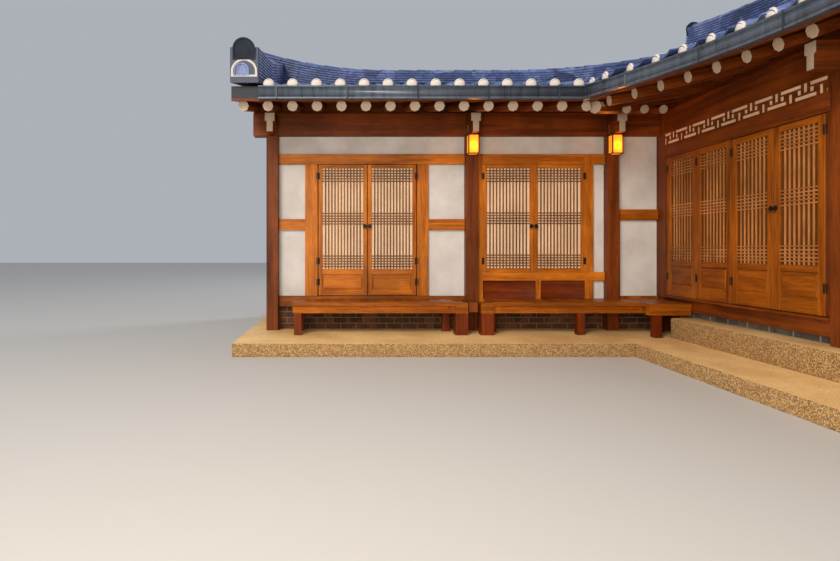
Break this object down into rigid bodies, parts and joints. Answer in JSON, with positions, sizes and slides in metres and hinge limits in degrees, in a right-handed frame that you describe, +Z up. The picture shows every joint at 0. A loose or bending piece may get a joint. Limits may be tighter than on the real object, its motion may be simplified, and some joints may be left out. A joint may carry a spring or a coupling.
{
  "type": "hanok house",
  "caption": "One-storey hanok house of two wings round a courtyard corner, with tiled roofs, a narrow wooden porch, paper-screen doors and a stone platform.",
  "frame": {"origin": "ground level under the inner corner of the two courtyard walls, on the underside of the stone platform", "axes": "+Z up, +Y from the courtyard through the back wing, +X from the courtyard through the right wing"},
  "size_m": [9.4478, 9.8478, 4.7777],
  "materials": {
    "roof_tile": "matt fired clay",
    "painted_gutter": "satin paint",
    "dark_timber": "oiled",
    "honey_timber": "oiled",
    "floor_paper": "oiled paper",
    "plaster": "matt lime plaster",
    "platform_stone": "rough",
    "dark_brick": "matt brick with light joints",
    "grey_block": "split stone with light joints",
    "lantern_paper": "lit paper in a wooden frame"
  },
  "bodies": {
    "house": {"back_roof": "roof_tile", "right_roof": "roof_tile", "left_gable_ridge": "roof_tile", "near_gable_ridge": "roof_tile", "back_ridge": "roof_tile", "right_ridge": "roof_tile", "back_gutter": "painted_gutter", "right_gutter": "painted_gutter", "back_truss": "dark_timber", "right_truss": "dark_timber", "back_front_beam": "dark_timber", "right_front_beam": "dark_timber", "front_post_1": "dark_timber", "front_post_2": "dark_timber", "front_post_3": "dark_timber", "corner_post": "dark_timber", "near_post": "dark_timber", "end_post": "dark_timber", "rear_frame": "dark_timber", "outer_frame": "dark_timber", "end_bay_frame": "dark_timber", "right_door_sill": "dark_timber", "right_door_lintel": "dark_timber", "right_folding_leaves": "dark_timber", "second_bay_screen": "dark_timber", "back_rafters": "honey_timber", "right_rafters": "honey_timber", "left_maru": "honey_timber", "right_maru": "honey_timber", "door_sill": "honey_timber", "door_lintel": "honey_timber", "door_jamb_left": "honey_timber", "door_jamb_right": "honey_timber", "window_frame": "honey_timber", "window_leaves": "honey_timber", "back_floor": "floor_paper", "right_floor": "floor_paper", "rear_wall": "plaster", "outer_wall": "plaster", "left_gable_wall": "plaster", "near_gable_wall": "plaster", "wall_left_of_door": "plaster", "wall_right_of_door": "plaster", "wall_over_door": "plaster", "window_bay_wall": "plaster", "end_bay_wall": "plaster", "back_platform": "platform_stone", "right_platform": "platform_stone", "stone_step": "platform_stone", "back_base": "dark_brick", "right_base": "grey_block", "lantern_1": "lantern_paper", "lantern_2": "lantern_paper"},
    "door_leaf_left": {"door_leaf_left": "honey_timber"},
    "door_leaf_right": {"door_leaf_right": "honey_timber"},
    "right_leaf_far": {"right_leaf_far": "dark_timber"},
    "right_leaf_near": {"right_leaf_near": "dark_timber"}
  },
  "joints": [
    {"name": "door_left_hinge", "type": "hinge", "parent": "house", "child": "door_leaf_left", "pos_m": [-4.39, -0.03, 1.4], "axis": [0, 0, -1], "range_deg": [0, 90]},
    {"name": "door_right_hinge", "type": "hinge", "parent": "house", "child": "door_leaf_right", "pos_m": [-3.149, -0.03, 1.4], "axis": [0, 0, 1], "range_deg": [0, 90]},
    {"name": "right_far_hinge", "type": "hinge", "parent": "house", "child": "right_leaf_far", "pos_m": [0.01, -1.432, 1.4], "axis": [0, 0, -1], "range_deg": [0, 90]},
    {"name": "right_near_hinge", "type": "hinge", "parent": "house", "child": "right_leaf_near", "pos_m": [0.01, -2.568, 1.4], "axis": [0, 0, 1], "range_deg": [0, 90]}
  ]
}
